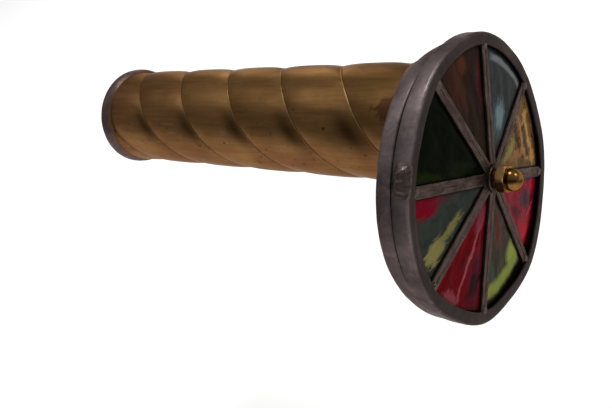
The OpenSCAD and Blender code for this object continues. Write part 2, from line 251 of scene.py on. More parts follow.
def agedBrass(name, onTube):
    made, tree, shader = newMaterial(name, **{"Metallic": 1.0, "Specular Tint": patina["edge"]})
    place = placeOf(tree)
    cloud = noiseOf(tree, place, 38, 5, 0.6, 0.3, 1.0)
    fine = noiseOf(tree, stretched(tree, place, (0.05, 1, 1)), 900, 3, 0.6, 0.0, 2.0)
    streak = noiseOf(tree, stretched(tree, place, (0.12, 1, 1)), 210, 4, 0.6, 0.4, 2.0)
    broad = noiseOf(tree, stretched(tree, place, (0.4, 1, 1)), 70, 4, 0.6, 0.5, 7.0)
    stain = noiseOf(tree, stretched(tree, place, (0.5, 1, 1)), 60, 5, 0.68, 0.6, 5.0)
    speck = noiseOf(tree, place, 560, 2, 0.5, 0.0, 8.0)
    scuff = noiseOf(tree, stretched(tree, place, (0.6, 1, 1), (0.3, 0, 0)), 150, 5, 0.7, 0.8, 12.0)
    split = add(tree, "ShaderNodeSeparateXYZ", {0: place}).outputs
    along, height = split[0], split[2]
    # painted light: towards the eye end the brass is more golden and lighter, where the light falls stronger,
    # and duller towards the wheels
    lightFalloff = span(tree, along, patina["eyeEnd"], patina["wheelEnd"], 0.45, -0.2)
    golden = calc(tree, "ADD", lightFalloff, span(tree, cloud, 0.35, 0.68), clamp=True)
    redEye = times(tree, span(tree, along, 0.05, 0.0), span(tree, stain, 0.4, 0.6, 0.1, 0.6))
    redBelow = times(tree, span(tree, height, 0.014, -0.004), span(tree, stain, 0.42, 0.62, 0.1, 0.8))
    speckled = times(tree, span(tree, speck, 0.66, 0.7, 0.0, 0.8), span(tree, height, 0.017, 0.004, 0.2, 1.0))
    colour = coated(tree, patina["brown"], (golden, patina["gold"]),
                    (span(tree, broad, 0.48, 0.66, 0.0, 0.6), patina["olive"]),
                    (span(tree, along, 0.085, 0.0, 0.0, 0.5), patina["eye"]),
                    (redEye, patina["red"]), (redBelow, patina["red"]),
                    (span(tree, streak, 0.5, 0.78, 0.0, 0.42), patina["dark"]),
                    (span(tree, fine, 0.42, 0.72, 0.0, 0.3), patina["dark"]), (speckled, patina["rust"]))
    scuffed = span(tree, scuff, 0.55, 0.75, 0.0, 0.12)
    rough = calc(tree, "ADD", span(tree, cloud, 0.3, 0.7, 0.43, 0.33), scuffed)
    if onTube:
        ragged = span(tree, noiseOf(tree, place, 420, 5, 0.7, 0.5, 3.0), 0.3, 0.7, -0.45, 0.45)
        for at, (long, high), key, strength in tubeSpots:
            moved = stretched(tree, place, shift=tuple(-v for v in at))
            scaled = stretched(tree, moved, (1 / long, 1 / high, 1 / high))
            far = calc(tree, "ADD", lengthOf(tree, scaled), ragged)
            colour = coated(tree, colour, (span(tree, far, 1.15, 0.8, 0.0, strength), patina[key]))
        # painted dark reflection beside the creases, painted highlight on rubbed ridges, and painted shade in
        # the creases and the bore
        for mark, key in (("darkReflection", "darkReflection"), ("ridgeWearAndHighlight", "polishAndHighlight"), ("paintedShade", "speck")):
            colour = coated(tree, colour, (markOf(tree, mark), patina[key]))
    dents = dented(tree, noiseOf(tree, place, 45, 2, 0.4, 0.0, 4.0), (scuff, 0.14), (fine, 0.05))
    feed(tree, shader, colour, rough, dents, patina["dents"])
    return made


# The face tones are painted shade on the rims' flat faces, and the bright tone a painted highlight on their
# edges.
leadTones = {"dark": tone(54, 45, 43), "mid": tone(86, 72, 69), "light": tone(128, 109, 107),
             "brown": tone(72, 55, 46), "face": tone(43, 37, 35), "faceDark": tone(28, 24, 22),
             "bright": tone(176, 160, 162), "band": tone(128, 98, 84), "edge": (0.52, 0.44, 0.42, 1.0),
             "dents": 0.0004}


def cameStreaks(tree, scale, squeeze, w):  # long marks that run along a strip of came
    strip = stretched(tree, markOf(tree, "strip", "Vector"), (squeeze, 1, 1))
    return noiseOf(tree, strip, scale, 4, 0.62, 0.3, w)


def leadMaterial(name, lighter=0.0, onBand=False):
    made, tree, shader = newMaterial(name, **{"Metallic": 0.7, "Specular Tint": leadTones["edge"]})
    place = placeOf(tree)
    cloud = noiseOf(tree, place, 60, 5, 0.65, 0.4, 2.0)
    mottle = noiseOf(tree, place, 300, 4, 0.62, 0.2, 6.0)
    rust = noiseOf(tree, place, 34, 3, 0.6, 0.5, 9.0)
    marks = cameStreaks(tree, 520, 0.12, 4.0)
    wearAndHighlight = markOf(tree, "wearAndHighlight")
    side = coated(tree, leadTones["dark"], (span(tree, cloud, 0.32, 0.7), leadTones["mid"]),
                  (span(tree, mottle, 0.5, 0.78, lighter, 0.6 + lighter), leadTones["light"]))
    # painted shade: the flat faces are a darker copy of the sides
    flat = coated(tree, leadTones["faceDark"], (span(tree, cloud, 0.34, 0.7), leadTones["face"]),
                  (span(tree, marks, 0.5, 0.8, 0.0, 0.4), leadTones["mid"]))
    # painted highlight on the rims' edges, partly rubbed; on the bands a lighter edge line
    highlightAndWear = times(tree, wearAndHighlight, span(tree, cloud, 0.35, 0.6, 0.3, 1.0))
    colour = coated(tree, side, (markOf(tree, "face"), flat),
                    (span(tree, rust, 0.55, 0.78, 0.0, 0.5), leadTones["brown"]),
                    (span(tree, marks, 0.58, 0.72, 0.0, 0.3), leadTones["dark"]),
                    (highlightAndWear, leadTones["band" if onBand else "bright"]))
    if onBand:  # its thin inner edge runs out over the brass
        thin = calc(tree, "ADD", markOf(tree, "thin"), span(tree, mottle, 0.3, 0.7, -0.3, 0.3))
        colour = coated(tree, colour, (span(tree, thin, 0.35, 0.75, 0.0, 0.9), patina["brown"]))
    rough = calc(tree, "SUBTRACT", span(tree, mottle, 0.3, 0.7, 0.5, 0.38), times(tree, wearAndHighlight, 0.08))
    dents = dented(tree, noiseOf(tree, place, 140, 3, 0.5, 0.0, 3.0), (mottle, 0.25), (marks, 0.12))
    feed(tree, shader, colour, rough, dents, leadTones["dents"])
    return made


# The bright tone is for painted glints.
solderTones = {"dark": tone(50, 40, 35), "mid": tone(77, 65, 60), "pale": tone(112, 98, 93),
               "bright": tone(200, 190, 188), "edge": (0.52, 0.44, 0.42, 1.0), "dents": 0.00035}


def solderMaterial(name, shine, fresh=0.0):  # shine is how bright its painted glints are, fresh how pale it is
    made, tree, shader = newMaterial(name, **{"Metallic": 0.8, "Specular Tint": solderTones["edge"]})
    place = placeOf(tree)
    cloud = noiseOf(tree, place, 170, 5, 0.65, 0.5, 3.0)
    spot = noiseOf(tree, place, 620, 3, 0.6, 0.3, 7.0)
    marks = cameStreaks(tree, 700, 0.18, 2.0)
    # the brightest spots are painted glints
    colour = coated(tree, solderTones["dark"], (span(tree, cloud, 0.35, 0.68), solderTones["mid"]),
                    (span(tree, marks, 0.5, 0.72, fresh, 0.5 + fresh), solderTones["pale"]),
                    (span(tree, marks, 0.46, 0.3, 0.0, 0.55), solderTones["dark"]),
                    (span(tree, spot, 0.68, 0.76, 0.0, shine), solderTones["bright"]))
    dents = dented(tree, cloud, (spot, 0.3), (marks, 0.35))
    feed(tree, shader, colour, span(tree, spot, 0.4, 0.72, 0.46, 0.22), dents, solderTones["dents"])
    return made


# The darkest tone is a painted dark reflection on the dome and painted shade on the hex's lower facets.
nutTones = {"mid": tone(116, 84, 44), "light": tone(146, 108, 60), "line": tone(92, 62, 30),
            "matt": tone(190, 150, 98), "reflectionAndShade": tone(30, 20, 9), "edge": (0.62, 0.5, 0.36, 1.0),
            "dents": 0.00001}


def polishedBrass(name):
    made, tree, shader = newMaterial(name, **{"Metallic": 1.0, "Specular Tint": nutTones["edge"]})
    place = placeOf(tree)
    cloud = noiseOf(tree, place, 420, 4, 0.6, 0.2, 1.0)
    fine = noiseOf(tree, stretched(tree, place, (0.2, 1, 1)), 2600, 2, 0.5, 0.0, 2.0)
    matt = markOf(tree, "matt")
    # the darkest coat is a painted dark reflection on the dome and painted shade on the hex
    colour = coated(tree, nutTones["mid"], (span(tree, cloud, 0.35, 0.7), nutTones["light"]),
                    (span(tree, fine, 0.55, 0.75, 0.0, 0.35), nutTones["line"]),
                    (times(tree, matt, 0.8), nutTones["matt"]),
                    (markOf(tree, "reflectionAndShade"), nutTones["reflectionAndShade"]))
    rough = calc(tree, "ADD", span(tree, cloud, 0.3, 0.7, 0.29, 0.2), times(tree, matt, 0.16))
    feed(tree, shader, colour, rough, fine, nutTones["dents"])
    return made


def clearGlass(name):
    made, tree, shader = newMaterial(name, **{"Transmission Weight": 1.0, "IOR": 1.5})
    place = placeOf(tree)
    haze = noiseOf(tree, place, 90, 3, 0.5, 0.0, 4.0)
    colour = coated(tree, tone(232, 240, 238), (haze, tone(246, 250, 249)))
    feed(tree, shader, colour, span(tree, haze, 0.3, 0.7, 0.02, 0.06), haze, 0.00002)
    return made


def mirrorGlass(name):
    made, tree, shader = newMaterial(name, Metallic=1.0)
    place = placeOf(tree)
    haze = noiseOf(tree, place, 60, 4, 0.6, 0.0, 5.0)
    colour = coated(tree, tone(214, 219, 222), (haze, tone(234, 238, 240)))
    feed(tree, shader, colour, span(tree, haze, 0.3, 0.7, 0.02, 0.08), haze, 0.00001)
    return made


def blackFoam(name):
    made, tree, shader = newMaterial(name)
    place = placeOf(tree)
    cells = add(tree, "ShaderNodeTexVoronoi", {"Vector": place, "Scale": 1500.0}).outputs["Distance"]
    colour = coated(tree, tone(18, 18, 19), (cells, tone(48, 47, 48)))
    feed(tree, shader, colour, span(tree, cells, 0.0, 1.0, 0.85, 0.98), cells, 0.0004)
    return made


# Each pane of art glass has a ground of two tones, and on it streaks (tone, how often they change along and
# across the pane, strength), patches (tone, place, half sizes, turn, strength, raggedness of the edge) and
# arcs that follow the rim (tone, radius, half width, middle and reach across the pane, strength).
# Places and sizes are in centimetres, along the pane from the axle and then across it.
# Some patches and arcs are painted reflections and highlights, as marked.
frontPanes = [
    {"ground": ((46, 33, 23), (56, 37, 28)), "streaks": [((44, 28, 22), (0.3, 1.4), 0.35)],
     # the first patch, an orange spot, is a painted reflection
     "patches": [((122, 66, 34), (3.76, -0.1), (0.32, 0.28), 0, 0.5, 0.7),
                 ((104, 24, 34), (2.95, -0.8), (0.62, 0.09), -16, 0.7, 0.5),
                 ((92, 52, 34), (3.3, 0.5), (0.9, 0.4), 0, 0.5, 0.8)]},
    {"ground": ((55, 58, 57), (68, 71, 70)), "streaks": [((46, 49, 49), (0.5, 1.4), 0.3)],
     # the pale blue patches are a painted reflection, and the pale arc along the rim a painted highlight
     "patches": [((92, 106, 110), (2.0, -0.06), (0.7, 0.46), 0, 0.8, 0.9),
                 ((128, 152, 158), (2.1, -0.1), (0.4, 0.28), 0, 0.95, 1.2)],
     "arcs": [((150, 154, 154), 3.86, 0.12, (-0.2, 1.25), 0.75)]},
    {"ground": ((104, 76, 38), (138, 100, 54)), "warp": 0.24,
     "streaks": [((46, 30, 16), (2.6, 0.5), 1.0), ((196, 144, 78), (2.8, 0.45), 0.85)],
     "patches": [((206, 152, 84), (3.45, 0.55), (0.45, 0.13), 14, 0.85, 0.8),
                 ((204, 150, 80), (3.5, -0.9), (0.5, 0.16), -14, 0.85, 0.8),
                 ((146, 142, 66), (1.75, 0.12), (0.6, 0.2), 12, 0.9, 0.7),
                 ((60, 40, 28), (3.0, 0.3), (0.5, 0.1), 8, 0.8, 0.7),
                 ((176, 122, 66), (2.6, -0.35), (0.8, 0.14), -8, 0.8, 0.8),
                 ((74, 44, 18), (2.55, 0.25), (0.12, 0.55), 12, 0.9, 0.7),
                 ((196, 134, 62), (2.95, 0.05), (0.1, 0.8), 10, 0.9, 0.7),
                 ((66, 40, 20), (3.2, -0.3), (0.1, 0.75), 6, 0.9, 0.7),
                 ((214, 158, 84), (3.55, -0.25), (0.13, 0.9), 4, 0.9, 0.6)]},
    {"ground": ((170, 18, 46), (142, 6, 34)), "streaks": [((74, 22, 40), (0.5, 2.2), 0.5)],
     "patches": [((74, 42, 54), (3.2, 0.3), (0.62, 0.34), 20, 0.95, 0.7),
                 ((196, 16, 40), (3.66, -0.75), (0.55, 0.36), 0, 0.85, 0.5),
                 ((172, 84, 98), (3.85, 0.12), (0.5, 0.06), 60, 0.7, 0.4),
                 ((60, 30, 44), (2.6, -0.35), (0.5, 0.14), -10, 0.7, 0.7)]},
    {"ground": ((66, 50, 42), (84, 76, 58)), "streaks": [((52, 54, 42), (0.3, 2.4), 0.8)],
     "patches": [((114, 46, 40), (1.95, 0.08), (0.75, 0.15), 0, 0.85, 0.6),
                 ((58, 84, 74), (2.9, -0.72), (0.5, 0.14), 6, 0.8, 0.6),
                 ((162, 172, 78), (3.32, 0.86), (0.52, 0.36), 14, 1.0, 0.7),
                 ((44, 58, 30), (3.2, -0.42), (0.4, 0.1), 0, 0.9, 0.8)],
     "arcs": [((150, 162, 68), 3.74, 0.24, (-0.1, 1.35), 1.0)]},
    {"ground": ((140, 0, 16), (106, 0, 10)), "streaks": [((62, 0, 10), (0.35, 1.6), 0.6)],
     "patches": [((84, 30, 44), (2.9, 0.75), (1.1, 0.42), 12, 0.85, 1.0),
                 ((38, 4, 14), (3.3, 0.72), (0.5, 0.3), 0, 0.8, 1.0),
                 ((190, 104, 110), (2.7, 0.03), (1.5, 0.075), -4, 0.7, 0.2),
                 ((166, 84, 92), (3.95, -0.55), (0.22, 0.5), 0, 0.75, 0.8),
                 ((150, 66, 84), (1.35, 0.0), (0.5, 0.2), 0, 0.7, 0.5)]},
    {"ground": ((54, 62, 57), (68, 74, 66)), "streaks": [((38, 44, 40), (0.8, 1.6), 0.6)],
     "patches": [((140, 12, 36), (3.5, -0.82), (0.8, 0.36), -14, 1.0, 0.5),
                 ((162, 152, 92), (3.5, 0.64), (0.62, 0.28), 16, 0.95, 1.1),
                 ((146, 138, 80), (2.6, 0.38), (0.7, 0.15), 14, 0.9, 0.9),
                 ((40, 48, 44), (3.1, 1.1), (0.9, 0.16), 18, 0.8, 0.5),
                 ((96, 46, 54), (2.5, -0.6), (0.7, 0.12), -14, 0.6, 0.7)]},
    {"ground": ((11, 15, 4), (17, 24, 5)), "streaks": [((7, 10, 3), (0.7, 1.6), 0.8)],
     "patches": [((38, 54, 12), (3.1, 1.05), (0.9, 0.22), 18, 0.5, 1.2),
                 ((34, 44, 14), (1.8, 0.3), (0.6, 0.25), 20, 0.4, 1.2)]},
]
rearPanes = [{"ground": (dark, light), "streaks": [(streak, (slow, 2.4), strength)]}
             for dark, light, streak, slow, strength in (
                 ((28, 60, 110), (60, 110, 160), (180, 200, 214), 0.4, 0.5),
                 ((176, 122, 34), (200, 152, 70), (120, 70, 22), 0.3, 0.7),
                 ((30, 84, 46), (64, 120, 62), (16, 48, 30), 0.5, 0.6),
                 ((140, 22, 34), (108, 10, 24), (200, 110, 90), 0.35, 0.4),
                 ((196, 186, 150), (214, 206, 180), (160, 134, 92), 0.4, 0.5),
                 ((82, 36, 104), (110, 62, 128), (50, 20, 72), 0.4, 0.6),
                 ((30, 104, 112), (56, 130, 132), (16, 62, 76), 0.5, 0.6),
                 ((168, 72, 26), (188, 104, 48), (110, 36, 18), 0.3, 0.7))]
# the dark border near the rim and along the came is putty together with painted shadow
glassLook = {"warp": 0.1, "fineWarp": 0.045, "ripple": 0.00018, "rimDark": (3.98, 4.16), "cameEdge": 0.185,
             "cementAndShadowWide": 0.07, "cementAndShadow": tone(14, 12, 10), "shine": 0.006}
streakLook = [(3.0, 4, 0.62, 0.5, 6, 0.52, 0.66),  # scale, detail, roughness, distortion, seed, from, to
              (3.2, 3, 0.6, 1.2, 12, 0.54, 0.64)]


def artGlass(name, pane, seed, halfAngle):
    made, tree, shader = newMaterial(name, **{"Specular IOR Level": glassLook["shine"]})
    flat = add(tree, "ShaderNodeUVMap", uv_map="paneMap").outputs[0]
    big, small = pane.get("warp", glassLook["warp"]), glassLook["fineWarp"]
    sway = {0: span(tree, noiseOf(tree, flat, 1.1, 4, 0.6, 0.4, seed), 0.25, 0.75, -big, big),
            1: span(tree, noiseOf(tree, flat, 1.3, 4, 0.6, 0.4, seed + 20), 0.25, 0.75, -big, big)}
    feather = noiseOf(tree, stretched(tree, flat, (0.35, 1.6, 1)), 6.0, 4, 0.65, 0.6, seed + 31)
    ragged = add(tree, "ShaderNodeCombineXYZ", {1: span(tree, feather, 0.25, 0.75, -small, small)}).outputs[0]
    bent = vectorCalc(tree, "ADD", flat, add(tree, "ShaderNodeCombineXYZ", sway).outputs[0])
    bent = vectorCalc(tree, "ADD", bent, ragged)
    ground = [tone(*tint) for tint in pane["ground"]]
    cloud = noiseOf(tree, bent, 1.6, 5, 0.6, 0.5, seed + 3)
    colour = coated(tree, ground[0], (span(tree, cloud, 0.35, 0.65), ground[1]))
    for (tint, often, strength), look in zip(pane["streaks"], streakLook):
        scale, detail, rough, distort, shift, low, high = look
        lines = noiseOf(tree, stretched(tree, bent, (*often, 1)), scale, detail, rough, distort, seed + shift)
        colour = coated(tree, colour, (span(tree, lines, low, high, 0.0, strength), tone(*tint)))
    for tint, at, size, degrees, strength, rough in pane.get("patches", []):
        moved = stretched(tree, bent, shift=(-at[0], -at[1], 0))
        turned = stretched(tree, moved, turn=(0, 0, -math.radians(degrees)))
        far = lengthOf(tree, vectorCalc(tree, "MULTIPLY", turned, (1 / size[0], 1 / size[1], 1)))
        far = calc(tree, "ADD", far, span(tree, feather, 0.3, 0.7, -rough * 0.5, rough * 0.5))
        colour = coated(tree, colour, (span(tree, far, 1.25, 0.65, 0.0, strength), tone(*tint)))
    split = add(tree, "ShaderNodeSeparateXYZ", {0: flat}).outputs
    radius = lengthOf(tree, bent)
    for tint, middle, wide, (centre, reach), strength in pane.get("arcs", []):
        off = calc(tree, "DIVIDE", calc(tree, "ABSOLUTE", calc(tree, "SUBTRACT", radius, middle)), wide)
        end = calc(tree, "DIVIDE", calc(tree, "ABSOLUTE", calc(tree, "SUBTRACT", split[1], centre)), reach)
        inside = times(tree, span(tree, off, 1.3, 0.5, 0.0, strength), span(tree, end, 1.05, 0.8))
        colour = coated(tree, colour, (inside, tone(*tint)))
    sine, cosine = math.sin(math.radians(halfAngle)), math.cos(math.radians(halfAngle))
    gap = calc(tree, "SUBTRACT", times(tree, split[0], sine),
               times(tree, calc(tree, "ABSOLUTE", split[1]), cosine))
    gap = calc(tree, "SUBTRACT", gap, glassLook["cameEdge"])  # how far a point is from the came beside it
    # dark putty and painted shadow beside the came and near the rim
    cementAndShadow = calc(tree, "MAXIMUM", span(tree, gap, glassLook["cementAndShadowWide"], 0.02, 0.0, 0.9),
                  span(tree, lengthOf(tree, flat), *glassLook["rimDark"], 0.0, 0.95))
    colour = coated(tree, colour, (cementAndShadow, glassLook["cementAndShadow"]))
    ripple = noiseOf(tree, stretched(tree, flat, (0.7, 1.4, 1)), 2.2, 3, 0.5, 0.4, seed + 9)
    feed(tree, shader, colour, span(tree, ripple, 0.3, 0.7, 0.06, 0.2), ripple, glassLook["ripple"])
    return made


agedBrassTube = agedBrass("agedBrass", True)
agedBrassPlain = agedBrass("agedBrassPlain", False)
leadCame = leadMaterial("leadCame")
leadBand = leadMaterial("leadBand", 0.35, True)
solderCame = solderMaterial("solderCame", 0.45)
solderDrop = solderMaterial("solderDrop", 0.9, 0.3)
nutBrass = polishedBrass("polishedBrass")
lensGlass = clearGlass("clearGlass")
silverMirror = mirrorGlass("mirrorGlass")
foam = blackFoam("blackFoam")
print("finishes made")


# Geometry Nodes: a tree with named inputs is run on an object and leaves a plain mesh

def newTree(name, **labels):  # names of its inputs by kind, besides the geometry and the material
    tree = bpy.data.node_groups.new(name, "GeometryNodeTree")
    inputs = [("Geometry", "Geometry")] + [(label, kind) for kind in labels for label in labels[kind]]
    for label, kind in inputs + [("Material", "Material")]:
        tree.interface.new_socket(name=label, in_out="INPUT", socket_type="NodeSocket" + kind)
    tree.interface.new_socket(name="Geometry", in_out="OUTPUT", socket_type="NodeSocketGeometry")
    return tree, tree.nodes.new("NodeGroupInput").outputs


def endTree(tree, given, geometry):
    smooth = add(tree, "GeometryNodeSetShadeSmooth", {0: geometry})
    real = add(tree, "GeometryNodeRealizeInstances", {0: smooth.outputs[0]})
    painted = add(tree, "GeometryNodeSetMaterial", {0: real.outputs[0], "Material": given["Material"]})
    tree.links.new(painted.outputs[0], tree.nodes.new("NodeGroupOutput").inputs[0])


def grown(tree, base, values):  # runs the tree on an object and returns the plain mesh
    holder = link(bpy.data.objects.new("holder", base))
    modifier = holder.modifiers.new("shape", "NODES")
    modifier.node_group = tree
    sockets = {item.name: item.identifier for item in tree.interface.items_tree if item.in_out == "INPUT"}
    for label, value in values.items():
        modifier[sockets[label]] = value
    found = bpy.context.evaluated_depsgraph_get()
    mesh = bpy.data.meshes.new_from_object(holder.evaluated_get(found))
    bpy.data.objects.remove(holder)
    return mesh


def lumpy(tree, geometry, given):  # lumps of a given height and size, in metres
    where = add(tree, "GeometryNodeInputPosition").outputs[0]
    often = calc(tree, "DIVIDE", 1.0, given["Lump size"])
    inputs = {"Vector": where, "W": given["Seed"], "Scale": often, "Detail": 2.0}
    lumps = add(tree, "ShaderNodeTexNoise", inputs, noise_dimensions="4D").outputs[1]
    centred = vectorCalc(tree, "SUBTRACT", lumps, (0.5, 0.5, 0.5))
    pushed = add(tree, "ShaderNodeVectorMath", {0: centred, 3: given["Lump height"]}, operation="SCALE")
    return add(tree, "GeometryNodeSetPosition", {0: geometry, "Offset": pushed.outputs[0]}).outputs[0]


def makeStripTree():  # a strip of came: a profile swept along a line, then hand-worked lumps
    sizes = ["Spacing", "Lump height", "Lump size", "Seed"]
    tree, given = newTree("cameStrip", Object=["Profile"], Float=sizes)
    line = {0: given["Geometry"], "Length": given["Spacing"]}
    spaced = add(tree, "GeometryNodeResampleCurve", line, mode="LENGTH")
    upright = add(tree, "GeometryNodeSetCurveNormal", {0: spaced.outputs[0]}, mode="Z_UP")
    profile = add(tree, "GeometryNodeObjectInfo", {0: given["Profile"]}).outputs["Geometry"]
    swept = add(tree, "GeometryNodeCurveToMesh", {0: upright.outputs[0], 1: profile, "Fill Caps": True})
    endTree(tree, given, lumpy(tree, swept.outputs[0], given))
    return tree


def makeDropTree():  # a flattened drop of solder on each point
    tree, given = newTree("solderDrops", Float=["Drop size", "Lump height", "Lump size", "Seed"])
    ball = add(tree, "GeometryNodeMeshUVSphere", {0: 28, 1: 16, 2: given["Drop size"]})
    least, most = (0.75, 0.7, 0.34), (1.15, 1.1, 0.5)
    varied = add(tree, "FunctionNodeRandomValue", {0: least, 1: most, "Seed": 4}, data_type="FLOAT_VECTOR")
    dots = add(tree, "GeometryNodeMeshToPoints", {0: given["Geometry"]})
    placed = add(tree, "GeometryNodeInstanceOnPoints",
                 {0: dots.outputs[0], "Instance": ball.outputs[0], "Scale": varied.outputs[0]})
    real = add(tree, "GeometryNodeRealizeInstances", {0: placed.outputs[0]})
    endTree(tree, given, lumpy(tree, real.outputs[0], given))
    return tree


def curveBase(name, points, closed):
    data = bpy.data.curves.new(name, "CURVE")
    data.dimensions = "3D"
    line = data.splines.new("POLY")
    line.points.add(len(points) - 1)
    for spot, p in zip(line.points, points):
        spot.co = (*p, 1)
    line.use_cyclic_u = closed
    return data


stripTree = makeStripTree()
dropTree = makeDropTree()


def cameStrip(name, outline, line, closed, work, seed, material):
    corners = [(u * mm, -z * mm, 0) for u, z in outline]  # the outline is (outwards, forwards) in millimetres
    profile = link(bpy.data.objects.new(name + "Profile", curveBase(name + "Profile", corners, True)))
    values = {"Profile": profile, "Spacing": work["spacing"] * mm, "Lump height": work["lump"] * mm,
              "Lump size": work["lumpSize"] * mm, "Seed": seed, "Material": material}
    mesh = grown(stripTree, curveBase(name, line, closed), values)
    bpy.data.objects.remove(profile)
    return mesh


# The creased tube

tubeSizes = {"length": 149.4 * mm, "radius": 19.05 * mm, "bore": 17.55 * mm, "starts": 3, "lead": 79.7 * mm,
             "depth": 0.75 * mm, "firstCrease": 10.0, "flatness": 3.0, "ridge": 0.06 * mm, "ridgeAt": 0.012,
             "ridgeWidth": 0.007, "rows": 420, "around": 180, "crowd": 0.85}
# Sizes of the painted highlight on the ridges, the painted shade in the creases and the bore, and the painted
# dark reflection beside the creases.
tubeMarks = {"ridgeWearAndHighlight": 0.6, "ridgeWearAndHighlightWide": 0.009, "paintedShade": 0.85, "paintedShadeWide": 0.006, "boreShade": 0.3,
             "topHighlightHeight": 14 * mm, "wheelEndHighlightLength": 90 * mm, "darkReflectionTurn": 149.0, "darkReflectionHigh": 18,
             "darkReflectionLong": 150 * mm,  # each pair below is for the eye end, and what the wheels' end adds
             "darkReflection": (0.56, 0.26), "darkReflectionAt": (0.1, 0.17), "darkReflectionWide": (0.085, 0.07)}


def makeTubeTree():  # a sheet rolled round X, with lobes that wind and sharp creases between them
    sizes = ["Length", "Radius", "Starts", "Lead", "Depth", "First crease", "Flatness", "Ridge", "Ridge at",
             "Ridge width"]
    tree, given = newTree("creasedTube", Float=sizes, Int=["Rows", "Around"])

    def work(operation, a, b=0.0):
        return calc(tree, operation, a, b)

    columns = work("ADD", given["Around"], 1.0)
    sheet = add(tree, "GeometryNodeMeshGrid", {0: 1.0, 1: 1.0, 2: given["Rows"], 3: columns})
    where = add(tree, "ShaderNodeSeparateXYZ", {0: add(tree, "GeometryNodeInputPosition").outputs[0]}).outputs
    x = work("MULTIPLY", work("ADD", where[0], 0.5), given["Length"])
    lobes = work("MULTIPLY", work("ADD", where[1], 0.5), given["Starts"])
    lobe = work("FLOOR", work("ADD", lobes, 1e-5))
    part = work("SUBTRACT", lobes, lobe)  # 0 to 1 across a lobe, with columns crowded towards its creases
    crowded = work("SINE", work("MULTIPLY", part, 2 * math.pi))
    part = work("SUBTRACT", part, work("MULTIPLY", crowded, tubeSizes["crowd"] / (2 * math.pi)))
    edge = work("ABSOLUTE", work("SUBTRACT", work("MULTIPLY", part, 2.0), 1.0))
    sunk = work("MULTIPLY", given["Depth"], work("POWER", edge, given["Flatness"]))
    off = work("DIVIDE", work("SUBTRACT", part, given["Ridge at"]), given["Ridge width"])
    ridge = work("EXPONENT", work("MULTIPLY", work("MULTIPLY", off, off), -1.0))
    radius = work("ADD", work("SUBTRACT", given["Radius"], sunk), work("MULTIPLY", given["Ridge"], ridge))
    wound = work("MULTIPLY", work("DIVIDE", x, given["Lead"]), 2 * math.pi)
    place = work("MULTIPLY", work("DIVIDE", work("ADD", lobe, part), given["Starts"]), 2 * math.pi)
    turn = work("ADD", work("ADD", wound, place), work("RADIANS", given["First crease"]))
    y, z = [work("MULTIPLY", radius, work(side, turn)) for side in ("COSINE", "SINE")]
    spot = add(tree, "ShaderNodeCombineXYZ", {0: x, 1: y, 2: z}).outputs[0]
    rolled = add(tree, "GeometryNodeSetPosition", {0: sheet.outputs[0], "Position": spot})
    closed = add(tree, "GeometryNodeMergeByDistance", {0: rolled.outputs[0], "Distance": 1e-6})
    endTree(tree, given, closed.outputs[0])
    return tree


def lineTube(mesh):  # the tube's end faces and its smooth bore
    bm = bmesh.new()
    bm.from_mesh(mesh)
    rims = [e for e in bm.edges if e.is_boundary]
    inner = bmesh.ops.extrude_edge_only(bm, edges=rims)["geom"]
    for v in [g for g in inner if isinstance(g, bmesh.types.BMVert)]:
        shrink = tubeSizes["bore"] / math.hypot(v.co.y, v.co.z)
        v.co.y *= shrink
        v.co.z *= shrink
    bmesh.ops.bridge_loops(bm, edges=[e for e in bm.edges if e.is_boundary])
    bm.to_mesh(mesh)
    bm.free()


def paintTube(mesh):  # rubbed ridges with a painted highlight, painted shade in the creases, a painted dark reflection beside them
    sizes, marks = tubeSizes, tubeMarks
    co = pointsOf(mesh)
    around = np.degrees(np.arctan2(co[:, 2], co[:, 1]))
    part = ((around - sizes["firstCrease"] - 360 * co[:, 0] / sizes["lead"]) * sizes["starts"] / 360) % 1
    outer = np.hypot(co[:, 1], co[:, 2]) > sizes["bore"] + 0.1 * mm
    patch = np.clip([0.6 + 0.8 * noise.noise(v.co * 90) for v in mesh.vertices], 0, 1)
    # painted highlight on the rubbed ridges: strongest on top of the tube, fading downwards and towards the
    # eye end
    highlightSide = np.clip(co[:, 2] / marks["topHighlightHeight"], 0.12, 1)
    highlightSide *= np.clip(co[:, 0] / marks["wheelEndHighlightLength"], 0.45, 1)
    ridgeWearAndHighlight = marks["ridgeWearAndHighlight"] * patch * highlightSide * bell(part, sizes["ridgeAt"], marks["ridgeWearAndHighlightWide"])
    # painted shade along the creases; inside the bore, further down, an even painted shade
    paintedShade = marks["paintedShade"] * bell(np.minimum(part, 1 - part), 0, marks["paintedShadeWide"])
    # painted dark reflection: a dark patch beside each crease, on one side of the tube only
    turned = (around - marks["darkReflectionTurn"] + 180) % 360 - 180
    late = co[:, 0] / marks["darkReflectionLong"]
    (deep, deeper), (at, shift), (wide, wider) = marks["darkReflection"], marks["darkReflectionAt"], marks["darkReflectionWide"]
    darkReflection = (deep + deeper * late) * bell(part, at + shift * late ** 3, wide + wider * late)
    darkReflection *= bell(turned, 0, marks["darkReflectionHigh"])
    paint(mesh, "ridgeWearAndHighlight", np.where(outer, ridgeWearAndHighlight, 0))
    paint(mesh, "paintedShade", np.where(outer, paintedShade, marks["boreShade"]))
    paint(mesh, "darkReflection", np.where(outer, darkReflection, 0))


